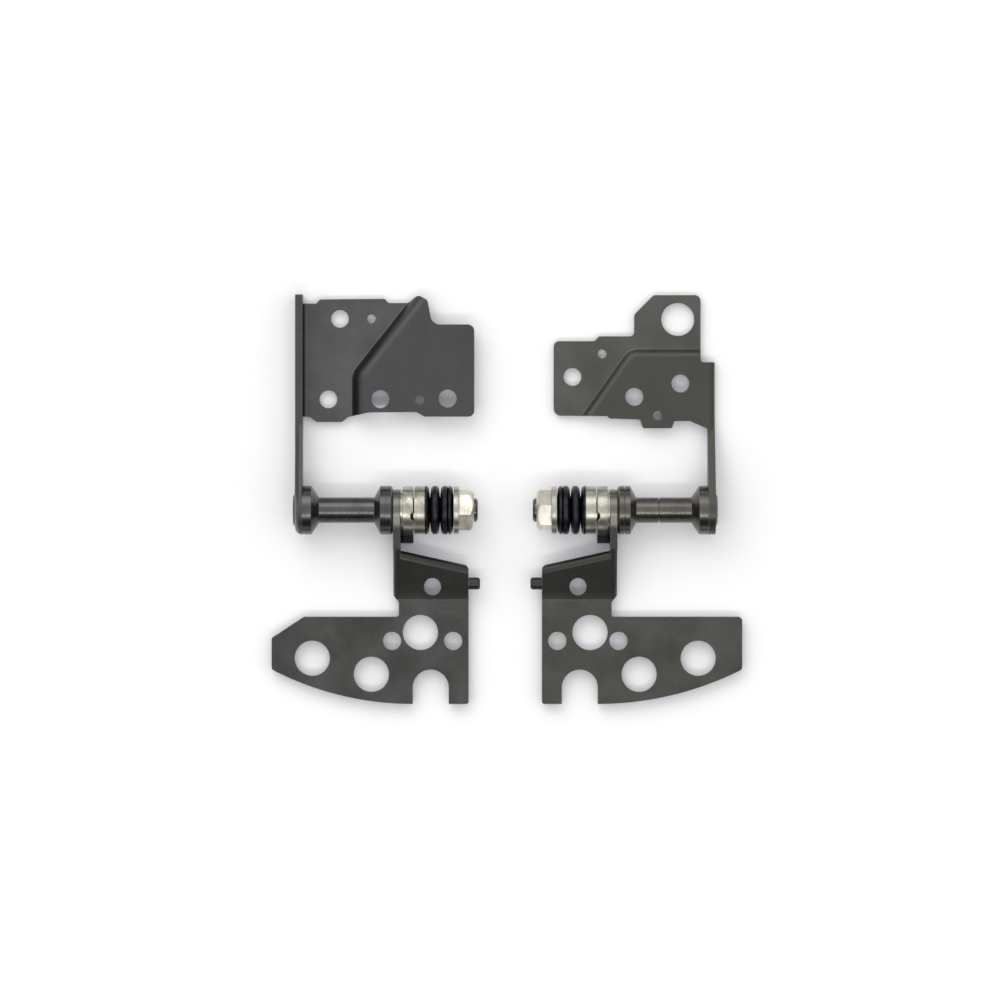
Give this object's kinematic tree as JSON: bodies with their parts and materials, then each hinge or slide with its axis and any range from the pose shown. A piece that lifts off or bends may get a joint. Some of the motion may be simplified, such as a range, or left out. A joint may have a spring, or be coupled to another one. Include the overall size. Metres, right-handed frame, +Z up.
{
  "type": "laptop hinge pair",
  "caption": "Matched left and right friction hinges for a laptop lid, with stamped steel brackets, a turned shaft, detent cams, disc springs and a lock nut.",
  "frame": {"origin": "middle of the pair's outline, on the surface that the pair lies on", "axes": "+X along the shafts from the left hinge to the right hinge, +Y towards the lid brackets, +Z up"},
  "size_m": [0.0776, 0.0676, 0.0081],
  "materials": {
    "bracket_steel": "dark plated, satin",
    "shaft_steel": "turned, dark plated",
    "cam_nickel": "worn nickel plate",
    "nut_nickel": "bright nickel plate",
    "spring_steel": "black oxide"
  },
  "bodies": {
    "base": {"left_base_bracket": "bracket_steel", "left_friction_washer": "cam_nickel", "left_fixed_cam": "cam_nickel", "right_base_bracket": "bracket_steel", "right_friction_washer": "cam_nickel", "right_fixed_cam": "cam_nickel"},
    "left_lid": {"left_lid_bracket": "bracket_steel", "left_shaft": "shaft_steel", "left_follower_cam": "cam_nickel", "left_disc_spring_1": "spring_steel", "left_disc_spring_2": "spring_steel", "left_disc_spring_3": "spring_steel", "left_disc_spring_4": "spring_steel", "left_disc_spring_5": "spring_steel", "left_disc_spring_6": "spring_steel", "left_thrust_washer": "cam_nickel", "left_nut": "nut_nickel"},
    "right_lid": {"right_lid_bracket": "bracket_steel", "right_shaft": "shaft_steel", "right_follower_cam": "cam_nickel", "right_disc_spring_1": "spring_steel", "right_disc_spring_2": "spring_steel", "right_disc_spring_3": "spring_steel", "right_disc_spring_4": "spring_steel", "right_disc_spring_5": "spring_steel", "right_disc_spring_6": "spring_steel", "right_thrust_washer": "cam_nickel", "right_nut": "nut_nickel"}
  },
  "joints": [
    {"name": "left_lid_hinge", "type": "hinge", "parent": "base", "child": "left_lid", "pos_m": [-0.01872, -0.00175, 0.0041], "axis": [1, 0, 0], "range_deg": [0, 180]},
    {"name": "right_lid_hinge", "type": "hinge", "parent": "base", "child": "right_lid", "pos_m": [0.01818, -0.00175, 0.0041], "axis": [1, 0, 0], "range_deg": [0, 180]}
  ]
}
